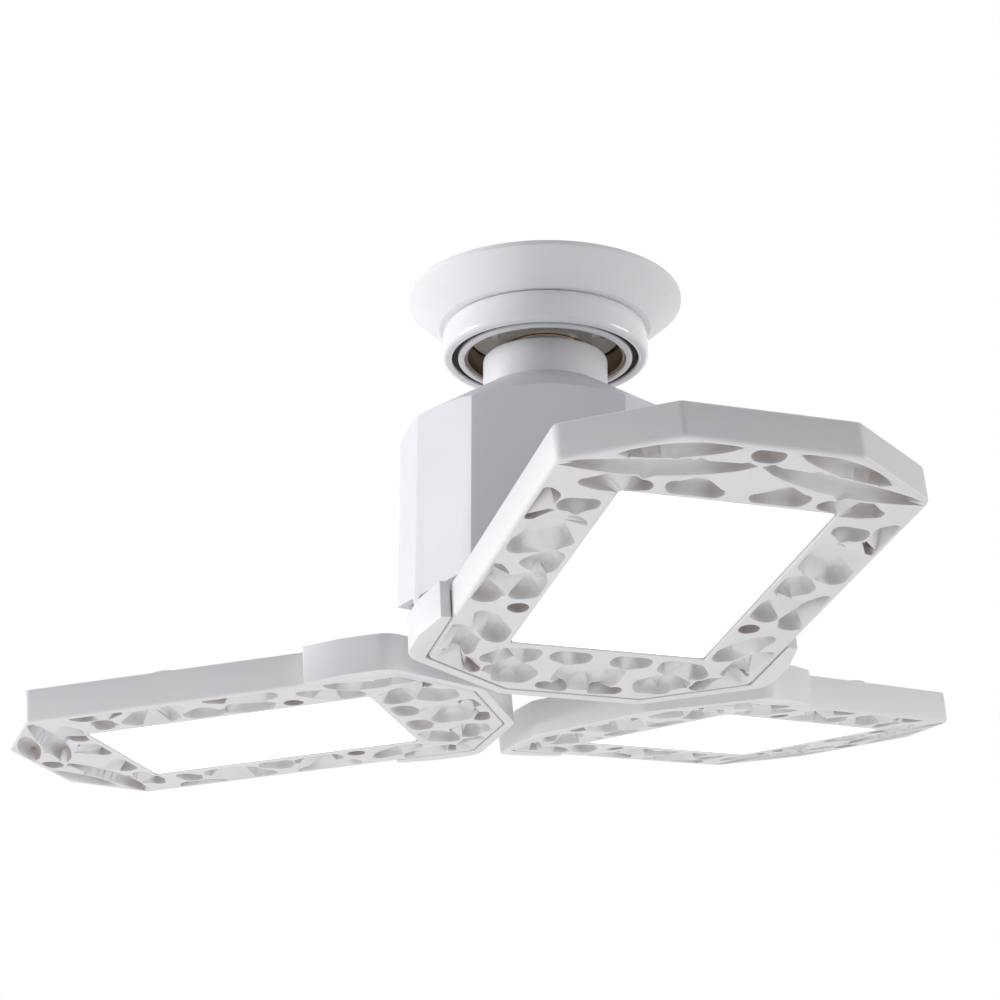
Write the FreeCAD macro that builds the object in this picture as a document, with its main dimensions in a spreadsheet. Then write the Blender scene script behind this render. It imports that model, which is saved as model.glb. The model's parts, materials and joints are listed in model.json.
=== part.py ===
import FreeCAD, Part
import Sketcher
import math
import os
import re

# Three-panel folding garage light hanging in a recessed ceiling lampholder.
# Origin: centre of the ceiling face, +Z up, so the light hangs below zero.
# Each panel is drawn flat about its own hinge: X runs out along the panel,
# Y across it, Z up, and the hinge pin lies along Y through zero.

doc = FreeCAD.newDocument("GarageLight")
sheet = doc.addObject("Spreadsheet::Sheet", "Sizes")

SIZES = [
    # lampholder on the ceiling
    ("canopy_radius", 44.5),
    ("canopy_depth", 10.6),
    ("canopy_wall", 1.6),
    ("canopy_rim", 1.5),
    ("canopy_seat_radius", 34.4),
    ("mouth_drop", 21.4),
    ("cup_radius", 33.4),
    ("cup_wall", 3.2),
    ("cup_round", 2.4),
    ("cup_facet", 0.7),
    ("seal_gap", 1.9),
    ("seal_lift", 1.0),
    ("seal_height", 2.4),
    ("ring_wall", 2.1),
    ("liner_wall", 1.0),
    ("seat_clearance", 0.1),
    ("socket_radius", 15.4),
    ("socket_rise", 9.5),
    ("socket_floor", 2.0),
    ("socket_skirt", 6.8),
    ("flange_gap", 0.5),
    ("flange_height", 2.0),
    ("fixing_hole_radius", 2.2),
    # small screws
    ("small_screw_radius", 1.4),
    ("screw_head_radius", 2.6),
    ("screw_head_height", 1.3),
    ("screw_clearance", 0.15),
    # screw cap of the light
    ("cap_radius", 13.0),
    ("cap_wall", 0.5),
    ("cap_height", 17.4),
    ("cap_lift", 2.0),
    ("cap_clearance", 0.4),
    ("cap_plug_height", 5.0),
    ("tip_radius", 4.8),
    ("tip_flat", 3.4),
    ("tip_height", 1.7),
    ("glass_height", 4.5),
    ("glass_top_radius", 7.0),
    ("tongue_width", 7.0),
    ("tongue_length", 12.0),
    ("tongue_wall", 0.5),
    ("tongue_gap", 0.05),
    # neck and housing
    ("neck_radius", 20.1),
    ("neck_wall", 2.1),
    ("seam_drop", 33.0),
    ("spigot_depth", 4.0),
    ("hub_radius", 46.5),
    ("hub_wall", 3.0),
    ("hub_wide_angle", 30.0),
    ("hub_narrow_angle", 60.0),
    ("hub_heading", -90.0),
    ("shoulder_drop", 50.0),
    ("foot_drop", 114.2),
    ("arch_drop", 102.8),
    ("arch_side_drop", 108.4),
    ("arch_half", 38.6),
    ("boss_radius", 4.5),
    ("boss_height", 16.0),
    # hinge carrier and pins
    ("panel_heading", -72.3),
    ("hinge_setback", 16.1),
    ("hinge_drop", 117.3),
    ("plate_drop", 97.0),
    ("plate_height", 3.5),
    ("plate_clearance", 0.2),
    ("ear_inner", 15.2),
    ("ear_outer", 20.0),
    ("ear_radius", 6.0),
    ("ear_root_back", 10.4),
    ("ear_root_front", 1.4),
    ("facet_angle", 30.0),
    ("pin_radius", 2.5),
    ("pin_clearance", 0.05),
    ("pin_head_radius", 3.8),
    ("pin_head_height", 1.4),
    ("washer_radius", 5.4),
    ("washer_height", 1.0),
    ("side_gap", 0.05),
    # electronics in the housing
    ("board_width", 46.0),
    ("board_height", 38.0),
    ("board_wall", 1.6),
    ("transformer_width", 18.0),
    ("transformer_height", 17.0),
    ("capacitor_radius", 5.0),
    ("capacitor_length", 20.0),
    # panels, measured from the hinge pin
    ("panel_half", 50.0),
    ("panel_corner", 120.2),
    ("panel_end", 137.4),
    ("chamfer_angle", 57.0),
    ("panel_top", 9.0),
    ("panel_height", 10.5),
    ("panel_wall", 3.0),
    ("panel_round", 2.5),
    ("slab_height", 5.5),
    ("pocket_depth", 4.0),
    ("web_rib", 1.5),
    ("window_start", 19.5),
    ("window_end", 109.3),
    ("window_half", 29.5),
    ("cavity_start", 14.0),
    ("lens_clearance", 0.2),
    ("lens_inset", 0.3),
    ("lens_wall", 1.4),
    ("lens_flange", 2.4),
    ("lens_flange_height", 1.2),
    ("led_board_wall", 1.2),
    ("led_size", 3.0),
    ("led_height", 0.8),
    ("led_columns", 4.0),
    ("led_rows", 3.0),
    ("cover_wall", 2.2),
    ("cover_clearance", 0.2),
    ("fin_height", 1.5),
    ("fin_width", 1.4),
    ("fin_pitch", 8.0),
    ("fin_count", 7.0),
    ("fin_margin", 14.0),
    ("stud_radius", 6.5),
    ("stud_height", 2.6),
    ("stud_place", 80.0),
    ("stud_inset", 14.0),
    # bracket that carries each panel
    ("bracket_half", 56.0),
    ("bracket_front_half", 53.2),
    ("bracket_shoulder", 20.0),
    ("panel_gap", 3.2),
    ("bracket_back", 14.0),
    ("bracket_front", 32.5),
    ("bracket_wall", 3.0),
    ("bracket_round", 8.0),
    ("bracket_proud", 0.5),
    ("bracket_roof", 2.5),
    ("fit_clearance", 0.2),
    ("sector_angle", 60.0),
    ("barrel_radius", 6.0),
    ("arm_back", 8.0),
    ("arm_front", 12.0),
    ("bracket_screw_place", 9.0),
    ("bracket_screw_inset", 20.0),
    ("bracket_screw_depth", 5.4),
]

for line_number, (alias, value) in enumerate(SIZES, start=1):
    sheet.set("A%d" % line_number, alias)
    sheet.set("B%d" % line_number, str(value))
    sheet.setAlias("B%d" % line_number, alias)
doc.recompute()

FUNCTIONS = ("tan", "cos", "sin", "sqrt")


def bound(text):
    """The same formula with every size word pointing at the sheet."""
    def point_at_sheet(match):
        word = match.group(0)
        return word if word in FUNCTIONS else "Sizes." + word
    return re.sub(r"[a-z][a-z_]+", point_at_sheet, text)


def size(text):
    """The present value of a formula of size words, as a number."""
    return float(sheet.evalExpression(text))


# ---------------------------------------------------------------- helpers
ROLES = {"XY": "XY_Plane", "XZ": "XZ_Plane", "YZ": "YZ_Plane"}
NUDGE = 1.0    # how far a cut runs past the face that it opens


def new_body(label):
    body = doc.addObject("PartDesign::Body", label)
    body.Label = label
    return body


def new_sketch(body, name, plane, offset="0"):
    sketch = body.newObject("Sketcher::SketchObject", name)
    origin_plane = [feature for feature in body.Origin.OriginFeatures
                    if feature.Role == ROLES[plane]][0]
    sketch.AttachmentSupport = [(origin_plane, "")]
    sketch.MapMode = "FlatFace"
    if offset != "0":
        sketch.setExpression(".AttachmentOffset.Base.z", bound(offset))
    return sketch


def add_loop(sketch, points):
    """A closed outline whose corners are pairs of formulas."""
    places = [FreeCAD.Vector(size(x), size(y), 0) for x, y in points]
    first = sketch.GeometryCount
    count = len(places)
    for index in range(count):
        sketch.addGeometry(Part.LineSegment(places[index], places[(index + 1) % count]), False)
    for index in range(count):
        sketch.addConstraint(Sketcher.Constraint("Coincident", first + index, 2,
                                                 first + (index + 1) % count, 1))
    for index, (x, y) in enumerate(points):
        for kind, text, value in (("DistanceX", x, places[index].x),
                                  ("DistanceY", y, places[index].y)):
            number = sketch.addConstraint(
                Sketcher.Constraint(kind, -1, 1, first + index, 1, value))
            if re.search("[a-z]", text):
                sketch.setExpression("Constraints[%d]" % number, bound(text))


def add_circle(sketch, x, y, radius):
    centre = FreeCAD.Vector(size(x), size(y), 0)
    geometry = sketch.addGeometry(Part.Circle(centre, FreeCAD.Vector(0, 0, 1), size(radius)), False)
    for kind, text, value in (("DistanceX", x, centre.x), ("DistanceY", y, centre.y)):
        number = sketch.addConstraint(Sketcher.Constraint(kind, -1, 1, geometry, 3, value))
        if re.search("[a-z]", text):
            sketch.setExpression("Constraints[%d]" % number, bound(text))
    number = sketch.addConstraint(Sketcher.Constraint("Radius", geometry, size(radius)))
    sketch.setExpression("Constraints[%d]" % number, bound(radius))


def mirrored(points):
    """The outline on both sides of the X axis, from its half with y above zero."""
    return list(points) + [(x, "-(%s)" % y) for x, y in reversed(points)]


def pad(body, sketch, length, name, midplane=False, down=False):
    feature = body.newObject("PartDesign::Pad", name)
    feature.Profile = sketch
    feature.Midplane = midplane
    feature.Reversed = down
    feature.setExpression("Length", bound(length))
    return feature


def pocket(body, sketch, length, name, midplane=False, forward=False):
    """A cut against the sketch's normal, or along it where forward is set."""
    feature = body.newObject("PartDesign::Pocket", name)
    feature.Profile = sketch
    feature.Midplane = midplane
    feature.Reversed = forward
    feature.setExpression("Length", bound(length))
    return feature


def spin(body, sketch, name, kind="PartDesign::Revolution"):
    feature = body.newObject(kind, name)
    feature.Profile = sketch
    feature.ReferenceAxis = (sketch, ["V_Axis"])
    feature.Angle = 360.0
    return feature


def turned(label, points):
    """A piece turned about Z from its half section of (radius, height) corners."""
    body = new_body(label)
    sketch = new_sketch(body, label + "_section", "XZ")
    add_loop(sketch, points)
    spin(body, sketch, label + "_turn")
    return body


def round_upright_edges(body, name, radius, corners):
    """Fillet the upright edges that stand at the given (x, y) corners."""
    doc.recompute()
    tip = body.Tip
    names = []
    for number, edge in enumerate(tip.Shape.Edges, start=1):
        ends = [vertex.Point for vertex in edge.Vertexes]
        if len(ends) != 2 or abs(ends[0].x - ends[1].x) + abs(ends[0].y - ends[1].y) > 0.01:
            continue
        for x, y in corners:
            if math.hypot(ends[0].x - x, ends[0].y - y) < 0.05:
                names.append("Edge%d" % number)
    fillet = body.newObject("PartDesign::Fillet", name)
    fillet.Base = (tip, names)
    fillet.setExpression("Radius", bound(radius))
    return fillet


def repeat_around(body, features, name):
    pattern = body.newObject("PartDesign::PolarPattern", name)
    pattern.Originals = features
    axis = [feature for feature in body.Origin.OriginFeatures if feature.Role == "Z_Axis"][0]
    pattern.Axis = (axis, [""])
    pattern.Angle = 360.0
    pattern.Occurrences = len(PANELS)
    body.Tip = pattern
    return pattern


def loose_shape(label, shape):
    feature = doc.addObject("Part::Feature", label)
    feature.Label = label
    feature.Shape = shape
    return feature


REST_TILT = [9.6, 7.0, -4.4]    # degrees that each panel's end stands above level
PANELS = range(1, len(REST_TILT) + 1)
SECTOR = 360.0 / len(PANELS)
Z_AXIS = FreeCAD.Vector(0, 0, 1)
Y_AXIS = FreeCAD.Vector(0, 1, 0)


def panel_place(number, tilted=True):
    """Where a panel's own axes stand in the light."""
    heading = size("panel_heading") + (number - 1) * SECTOR
    turn = FreeCAD.Rotation(Z_AXIS, heading)
    base = turn.multVec(FreeCAD.Vector(size(HINGE_REACH), 0, 0))
    base.z = -size("hinge_drop")
    tilt = FreeCAD.Rotation(Y_AXIS, -REST_TILT[number - 1] if tilted else 0.0)
    return FreeCAD.Placement(base, turn.multiply(tilt))


# Places that follow from the sizes of the pieces around them.
RING_RADIUS = "(cup_radius - cup_wall - seal_gap)"
LINER_RADIUS = "(cup_radius - cup_wall - seal_gap - ring_wall - seat_clearance)"
FLANGE_RADIUS = "(%s - liner_wall - flange_gap)" % LINER_RADIUS
FIXING_REACH = "((socket_radius + %s) / 2)" % FLANGE_RADIUS
BOSS_REACH = "(hub_radius - hub_wall - boss_radius)"
HINGE_REACH = "(hub_radius - hinge_setback)"
BRACKET_NOSE = ("((%s - bracket_back) * tan(sector_angle) - panel_gap / cos(sector_angle))"
                % HINGE_REACH)


# ------------------------------------------------------------- lampholder
def make_canopy():
    body = turned("ceiling_canopy", [
        ("socket_radius + fit_clearance", "-canopy_depth"),
        ("canopy_seat_radius", "-canopy_depth"),
        ("canopy_radius", "-canopy_rim"),
        ("canopy_radius", "0"),
        ("canopy_radius - canopy_wall", "0"),
        ("canopy_seat_radius - canopy_wall", "-canopy_depth + canopy_wall"),
        ("socket_radius + fit_clearance", "-canopy_depth + canopy_wall")])
    posts = new_sketch(body, "canopy_posts", "XY")
    holes = new_sketch(body, "canopy_holes", "XY")
    for side in ("", "-"):
        add_circle(posts, side + FIXING_REACH, "0", FIXING_REACH + " - socket_radius - fit_clearance")
        add_circle(holes, side + FIXING_REACH, "0", "fixing_hole_radius")
    pad(body, posts, "canopy_depth", "canopy_post_pad", down=True)
    pocket(body, holes, "canopy_depth + canopy_wall", "canopy_hole_cut")


def make_holder_rings():
    turned("holder_shell", [
        ("cup_radius - cup_wall", "-canopy_depth"),
        ("cup_radius - cup_round", "-canopy_depth"),
        ("cup_radius - cup_facet", "-canopy_depth - cup_facet"),
        ("cup_radius", "-canopy_depth - cup_round"),
        ("cup_radius", "-mouth_drop + seal_lift"),
        ("cup_radius - seal_lift", "-mouth_drop"),
        ("cup_radius - cup_wall", "-mouth_drop")])
    gap_outer = "cup_radius - cup_wall - seat_clearance"
    gap_inner = "cup_radius - cup_wall - seal_gap + seat_clearance"
    turned("holder_seal", [
        (gap_inner, "-mouth_drop + seal_lift"),
        (gap_outer, "-mouth_drop + seal_lift"),
        (gap_outer, "-mouth_drop + seal_lift + seal_height"),
        (gap_inner, "-mouth_drop + seal_lift + seal_height")])
    turned("holder_inner_ring", [
        (RING_RADIUS + " - ring_wall", "-canopy_depth"),
        (RING_RADIUS, "-canopy_depth"),
        (RING_RADIUS, "-mouth_drop + seal_lift / 2"),
        (RING_RADIUS + " - seal_lift / 2", "-mouth_drop"),
        (RING_RADIUS + " - ring_wall", "-mouth_drop")])
    turned("holder_liner", [
        (LINER_RADIUS + " - liner_wall", "-canopy_depth"),
        (LINER_RADIUS, "-canopy_depth"),
        (LINER_RADIUS, "-mouth_drop + seal_lift"),
        (LINER_RADIUS + " - liner_wall", "-mouth_drop + seal_lift")])


def make_socket():
    bore = "cap_radius + cap_clearance + cap_wall + seat_clearance"
    body = turned("socket_body", [
        (bore, "-canopy_depth - socket_skirt"),
        ("socket_radius", "-canopy_depth - socket_skirt"),
        ("socket_radius", "-canopy_depth - flange_height"),
        (FLANGE_RADIUS, "-canopy_depth - flange_height"),
        (FLANGE_RADIUS, "-canopy_depth"),
        ("socket_radius", "-canopy_depth"),
        ("socket_radius", "socket_rise"),
        ("0", "socket_rise"),
        ("0", "socket_rise - socket_floor"),
        (bore, "socket_rise - socket_floor")])
    holes = new_sketch(body, "socket_holes", "XY", "-canopy_depth")
    for side in ("", "-"):
        add_circle(holes, side + FIXING_REACH, "0", "fixing_hole_radius")
    pocket(body, holes, "flange_height + %g" % NUDGE, "socket_hole_cut")
    turned("socket_screw_shell", [
        ("cap_radius + cap_clearance", "-canopy_depth - socket_skirt"),
        ("cap_radius + cap_clearance + cap_wall", "-canopy_depth - socket_skirt"),
        ("cap_radius + cap_clearance + cap_wall", "0"),
        ("cap_radius + cap_clearance", "0")])
    tongue = new_body("socket_contact")
    section = new_sketch(tongue, "tongue_section", "XZ")
    low = "(-mouth_drop + cap_lift + cap_height + glass_height + tip_height + tongue_gap)"
    high = "socket_rise - socket_floor"
    add_loop(section, [
        ("-tongue_length / 2", high),
        ("-tongue_length / 2 + tongue_wall * 2", low),
        ("tongue_length / 2 - tongue_wall * 2", low),
        ("tongue_length / 2", high),
        ("tongue_length / 2 - tongue_wall", high),
        ("tongue_length / 2 - tongue_wall * 3", low + " + tongue_wall"),
        ("-tongue_length / 2 + tongue_wall * 3", low + " + tongue_wall"),
        ("-tongue_length / 2 + tongue_wall", high)])
    pad(tongue, section, "tongue_width", "tongue_pad", midplane=True)


def screw(head_radius, head_height, radius, length):
    """A screw with its head's seat at zero and its shank running down."""
    head = Part.makeCylinder(head_radius, head_height)
    shank = Part.makeCylinder(radius, length, FreeCAD.Vector(0, 0, -length))
    return head.fuse(shank).removeSplitter()


def screw_group(label, placements, length):
    shape = screw(size("screw_head_radius"), size("screw_head_height"),
                  size("small_screw_radius"), length)
    copies = []
    for placement in placements:
        copy = shape.copy()
        copy.Placement = placement
        copies.append(copy)
    return loose_shape(label, Part.makeCompound(copies))


# ------------------------------------------------- screw cap, neck, housing
def make_cap():
    foot = "(-mouth_drop + cap_lift)"
    head = "(-mouth_drop + cap_lift + cap_height)"
    turned("cap_screw_shell", [
        ("cap_radius - cap_wall", foot),
        ("cap_radius", foot),
        ("cap_radius", head),
        ("cap_radius - cap_wall", head)])
    turned("cap_insulator", [
        ("0", head),
        ("cap_radius", head),
        ("glass_top_radius", head + " + glass_height"),
        ("0", head + " + glass_height")])
    turned("cap_contact", [
        ("0", head + " + glass_height"),
        ("tip_radius", head + " + glass_height"),
        ("tip_flat", head + " + glass_height + tip_height"),
        ("0", head + " + glass_height + tip_height")])


def make_neck():
    turned("neck_collar", [
        ("neck_radius - neck_wall - neck_wall", "-seam_drop - spigot_depth"),
        ("neck_radius - neck_wall", "-seam_drop - spigot_depth"),
        ("neck_radius - neck_wall", "-seam_drop"),
        ("neck_radius", "-seam_drop"),
        ("neck_radius", "-mouth_drop - cap_wall"),
        ("neck_radius - cap_wall", "-mouth_drop"),
        ("cap_radius + cap_wall", "-mouth_drop"),
        ("cap_radius + cap_wall", "-mouth_drop + cap_lift"),
        ("cap_radius - cap_wall - seat_clearance", "-mouth_drop + cap_lift"),
        ("cap_radius - cap_wall - seat_clearance", "-mouth_drop + cap_lift + cap_plug_height"),
        ("tip_radius", "-mouth_drop + cap_lift + cap_plug_height"),
        ("tip_radius", "-mouth_drop - neck_wall"),
        ("neck_radius - neck_wall - neck_wall", "-mouth_drop - neck_wall")])


def hub_corners(inset, turn_text):
    """Corners of the nine-sided housing: three wide faces with two narrow ones between."""
    corners = []
    for sector in range(len(PANELS)):
        for angle in ("-hub_wide_angle", "hub_wide_angle", "hub_narrow_angle"):
            whole = "(%s + %g + %s)" % (angle, sector * SECTOR, turn_text)
            reach = "(hub_radius - %s)" % inset
            corners.append(("%s * cos(%s)" % (reach, whole), "%s * sin(%s)" % (reach, whole)))
    return corners


def make_housing():
    body = new_body("hub_housing")
    outline = new_sketch(body, "housing_outline", "XY", "-seam_drop")
    add_loop(outline, hub_corners("0", "0"))
    pad(body, outline, "foot_drop - seam_drop", "housing_pad", down=True)
    shoulder = new_sketch(body, "shoulder_section", "XZ")
    add_loop(shoulder, [
        ("neck_radius", "-seam_drop"),
        ("hub_radius", "-shoulder_drop"),
        ("hub_radius + spigot_depth", "-shoulder_drop"),
        ("hub_radius + spigot_depth", "-seam_drop + spigot_depth"),
        ("neck_radius", "-seam_drop + spigot_depth")])
    spin(body, shoulder, "shoulder_groove", "PartDesign::Groove")
    inside = new_sketch(body, "inside_outline", "XY", "-foot_drop")
    add_loop(inside, hub_corners("hub_wall / cos(hub_wide_angle)", "0"))
    pocket(body, inside, "foot_drop - shoulder_drop - hub_wall", "inside_pocket", forward=True)
    crown = new_sketch(body, "crown_section", "XZ")
    add_loop(crown, [
        ("0", "-seam_drop + spigot_depth"),
        ("neck_radius - neck_wall + seat_clearance", "-seam_drop + spigot_depth"),
        ("neck_radius - neck_wall + seat_clearance", "-seam_drop - hub_wall - hub_wall"),
        ("hub_radius * cos(hub_wide_angle) - hub_wall - hub_wall", "-shoulder_drop"),
        ("hub_radius * cos(hub_wide_angle) - hub_wall - hub_wall", "-shoulder_drop - hub_wall"),
        ("0", "-shoulder_drop - hub_wall")])
    spin(body, crown, "crown_groove", "PartDesign::Groove")
    bosses = new_sketch(body, "boss_sketch", "XY", "-plate_drop")
    doc.recompute()
    add_circle(bosses, BOSS_REACH + " * cos(hub_narrow_angle)",
               BOSS_REACH + " * sin(hub_narrow_angle)", "boss_radius")
    boss = pad(body, bosses, "boss_height", "boss_pad")
    bore = new_sketch(body, "boss_bore", "XY", "-plate_drop")
    add_circle(bore, BOSS_REACH + " * cos(hub_narrow_angle)",
               BOSS_REACH + " * sin(hub_narrow_angle)", "small_screw_radius + screw_clearance")
    hole = pocket(body, bore, "boss_height - hub_wall", "boss_hole", forward=True)
    repeat_around(body, [boss, hole], "boss_ring")
    arch = new_sketch(body, "arch_outline", "YZ")
    add_arch(arch)
    cut = pocket(body, arch, "hub_radius + spigot_depth", "arch_cut", forward=True)
    repeat_around(body, [cut], "arch_ring")
    body.Placement = FreeCAD.Placement(FreeCAD.Vector(),
                                       FreeCAD.Rotation(Z_AXIS, size("hub_heading")))


def add_arch(sketch):
    """The opening over each hinge: a shallow arc between two upright sides."""
    half = size("arch_half")
    side = -size("arch_side_drop")
    crown = -size("arch_drop")
    low = -size("foot_drop") - NUDGE
    arc = sketch.addGeometry(Part.Arc(FreeCAD.Vector(half, side, 0),
                                      FreeCAD.Vector(0, crown, 0),
                                      FreeCAD.Vector(-half, side, 0)), False)
    start = sketch.Geometry[arc].StartPoint
    left, right = (1, 2) if start.x < 0 else (2, 1)
    lean = size("hub_wall")
    points = [FreeCAD.Vector(-half, side, 0), FreeCAD.Vector(-half - lean, low, 0),
              FreeCAD.Vector(half + lean, low, 0), FreeCAD.Vector(half, side, 0)]
    lines = [sketch.addGeometry(Part.LineSegment(points[index], points[index + 1]), False)
             for index in range(3)]
    sketch.addConstraint(Sketcher.Constraint("Coincident", arc, left, lines[0], 1))
    sketch.addConstraint(Sketcher.Constraint("Coincident", lines[0], 2, lines[1], 1))
    sketch.addConstraint(Sketcher.Constraint("Coincident", lines[1], 2, lines[2], 1))
    sketch.addConstraint(Sketcher.Constraint("Coincident", lines[2], 2, arc, right))
    for line, x, y in ((0, "-arch_half", "-arch_side_drop"),
                       (1, "-arch_half - hub_wall", "-foot_drop - %g" % NUDGE),
                       (2, "arch_half + hub_wall", "-foot_drop - %g" % NUDGE)):
        place = sketch.Geometry[lines[line]].StartPoint
        for kind, text, value in (("DistanceX", x, place.x), ("DistanceY", y, place.y)):
            number = sketch.addConstraint(Sketcher.Constraint(kind, -1, 1, lines[line], 1, value))
            sketch.setExpression("Constraints[%d]" % number, bound(text))
    for kind, text, value in (("DistanceX", "arch_half", half),
                              ("DistanceY", "-arch_side_drop", side)):
        number = sketch.addConstraint(Sketcher.Constraint(kind, -1, 1, lines[2], 2, value))
        sketch.setExpression("Constraints[%d]" % number, bound(text))
    rise = "(arch_side_drop - arch_drop)"
    number = sketch.addConstraint(Sketcher.Constraint(
        "Radius", arc, sketch.Geometry[arc].Radius))
    sketch.setExpression("Constraints[%d]" % number,
                         bound("(arch_half * arch_half + %s * %s) / (2 * %s)" % (rise, rise, rise)))


def make_carrier():
    """The plate that closes the housing, with a pair of ears for each hinge pin."""
    body = new_body("hinge_carrier")
    outline = new_sketch(body, "carrier_outline", "XY", "-plate_drop")
    add_loop(outline, hub_corners("(hub_wall + plate_clearance) / cos(hub_wide_angle)",
                                  "hub_heading - panel_heading"))
    pad(body, outline, "plate_height", "carrier_pad", down=True)
    reach = BOSS_REACH + " * %s(hub_narrow_angle + hub_heading - panel_heading)"
    holes = new_sketch(body, "carrier_holes", "XY", "-plate_drop")
    add_circle(holes, reach % "cos", reach % "sin", "small_screw_radius + screw_clearance")
    hole = pocket(body, holes, "plate_height", "carrier_hole")
    repeat_around(body, [hole], "carrier_hole_ring")
    ears = new_sketch(body, "ear_outline", "XZ")
    add_loop(ears, [
        (HINGE_REACH + " - ear_root_back", "-plate_drop - plate_height"),
        (HINGE_REACH + " - ear_radius", "-hinge_drop"),
        (HINGE_REACH + " - ear_radius * sin(facet_angle)",
         "-hinge_drop - ear_radius * cos(facet_angle)"),
        (HINGE_REACH + " + ear_radius * sin(facet_angle)",
         "-hinge_drop - ear_radius * cos(facet_angle)"),
        (HINGE_REACH + " + ear_radius", "-hinge_drop"),
        (HINGE_REACH + " - ear_root_front", "-plate_drop - plate_height")])
    ear = pad(body, ears, "2 * ear_outer", "ear_pad", midplane=True)
    slot = new_sketch(body, "ear_slot", "XZ")
    add_loop(slot, [
        (HINGE_REACH + " - ear_root_back - ear_radius", "-plate_drop - plate_height"),
        (HINGE_REACH + " + 2 * ear_radius", "-plate_drop - plate_height"),
        (HINGE_REACH + " + 2 * ear_radius", "-hinge_drop - 2 * ear_radius"),
        (HINGE_REACH + " - ear_root_back - ear_radius", "-hinge_drop - 2 * ear_radius")])
    gap = pocket(body, slot, "2 * ear_inner", "ear_gap", midplane=True)
    eye = new_sketch(body, "ear_eye", "XZ")
    add_circle(eye, HINGE_REACH, "-hinge_drop", "pin_radius + pin_clearance")
    hole = pocket(body, eye, "2 * ear_outer + 2 * ear_radius", "ear_hole", midplane=True)
    repeat_around(body, [ear, gap, hole], "ear_ring")
    body.Placement = FreeCAD.Placement(FreeCAD.Vector(),
                                       FreeCAD.Rotation(Z_AXIS, size("panel_heading")))


def make_carrier_screws():
    upside_down = FreeCAD.Rotation(FreeCAD.Vector(1, 0, 0), 180.0)
    height = -size("plate_drop + plate_height")
    places = []
    for sector in range(len(PANELS)):
        angle = math.radians(size("hub_narrow_angle + hub_heading") + sector * SECTOR)
        base = FreeCAD.Vector(size(BOSS_REACH) * math.cos(angle),
                              size(BOSS_REACH) * math.sin(angle), height)
        places.append(FreeCAD.Placement(base, upside_down))
    screw_group("carrier_screws", places, size("plate_height + boss_height / 2"))


def make_electronics():
    board = doc.addObject("Part::Box", "driver_board")
    board.Label = "driver_board"
    board.setExpression("Length", bound("board_width"))
    board.setExpression("Width", bound("board_wall"))
    board.setExpression("Height", bound("board_height"))
    board.setExpression(".Placement.Base.x", bound("-board_width / 2"))
    board.setExpression(".Placement.Base.z", bound("-plate_drop"))
    transformer = doc.addObject("Part::Box", "driver_transformer")
    transformer.Label = "driver_transformer"
    for side in ("Length", "Width", "Height"):
        word = "transformer_height" if side == "Height" else "transformer_width"
        transformer.setExpression(side, bound(word))
    transformer.setExpression(".Placement.Base.x", bound("-transformer_width"))
    transformer.setExpression(".Placement.Base.y", bound("-transformer_width"))
    transformer.setExpression(".Placement.Base.z", bound("-plate_drop"))
    capacitor = doc.addObject("Part::Cylinder", "driver_capacitor")
    capacitor.Label = "driver_capacitor"
    capacitor.setExpression("Radius", bound("capacitor_radius"))
    capacitor.setExpression("Height", bound("capacitor_length"))
    capacitor.setExpression(".Placement.Base.x", bound("2 * capacitor_radius"))
    capacitor.setExpression(".Placement.Base.y", bound("board_wall + capacitor_radius"))
    capacitor.setExpression(".Placement.Base.z", bound("-plate_drop"))


# ----------------------------------------------------------------- hinges
def make_hinge_pin(number):
    half = size("ear_outer")
    radius = size("pin_radius")
    head = size("pin_head_height")
    along = FreeCAD.Vector(0, 1, 0)
    shank = Part.makeCylinder(radius, 2 * half + head, FreeCAD.Vector(0, -half - head, 0), along)
    cap = Part.makeCylinder(size("pin_head_radius"), head, FreeCAD.Vector(0, half, 0), along)
    pin = loose_shape("hinge_pin_%d" % number, shank.fuse(cap).removeSplitter())
    pin.Placement = panel_place(number, tilted=False)


def make_washer(number):
    """The friction washer between one ear and the bracket's knuckle."""
    base = FreeCAD.Vector(0, size("ear_inner - washer_height - side_gap"), 0)
    disc = Part.makeCylinder(size("washer_radius"), size("washer_height"), base, Y_AXIS)
    bore = Part.makeCylinder(size("pin_radius + pin_clearance"), size("washer_height"), base, Y_AXIS)
    washer = loose_shape("friction_washer_%d" % number, disc.cut(bore))
    washer.Placement = panel_place(number, tilted=False)


# ----------------------------------------------------------------- panels
def nose_corners(inset, half):
    """The inner end's two corners: the nose, and where the slope meets the given half width."""
    x = "(-bracket_back + %s)" % inset
    y = "(%s - %s * tan(sector_angle / 4))" % (BRACKET_NOSE, inset)
    return [(x, y), ("%s + (%s - %s) / tan(sector_angle)" % (x, half, y), half)]


def end_corners(inset):
    """The outer end's two corners, drawn in by a wall on every side."""
    end_half = "panel_half - (panel_end - panel_corner) * tan(chamfer_angle)"
    return [
        ("panel_corner - %s * tan(chamfer_angle / 2)" % inset, "panel_half - %s" % inset),
        ("panel_end - %s" % inset, "%s - %s * tan(45 - chamfer_angle / 2)" % (end_half, inset))]


FRAME_INSET = "(bracket_wall + fit_clearance)"


def half_width(x, inset):
    """Half the panel's width at a distance x from its hinge, less a margin."""
    nose, shoulder = [(size(a), size(b)) for a, b in nose_corners(
        "(%s + %g)" % (FRAME_INSET, inset), "(panel_half - %g)" % inset)]
    corner, end = [(size(a), size(b)) for a, b in end_corners("%g" % inset)]
    slope_in = (shoulder[1] - nose[1]) / (shoulder[0] - nose[0])
    slope_out = (corner[1] - end[1]) / (end[0] - corner[0])
    return min(shoulder[1], nose[1] + (x - nose[0]) * slope_in,
               end[1] + (end[0] - x) * slope_out)


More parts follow.
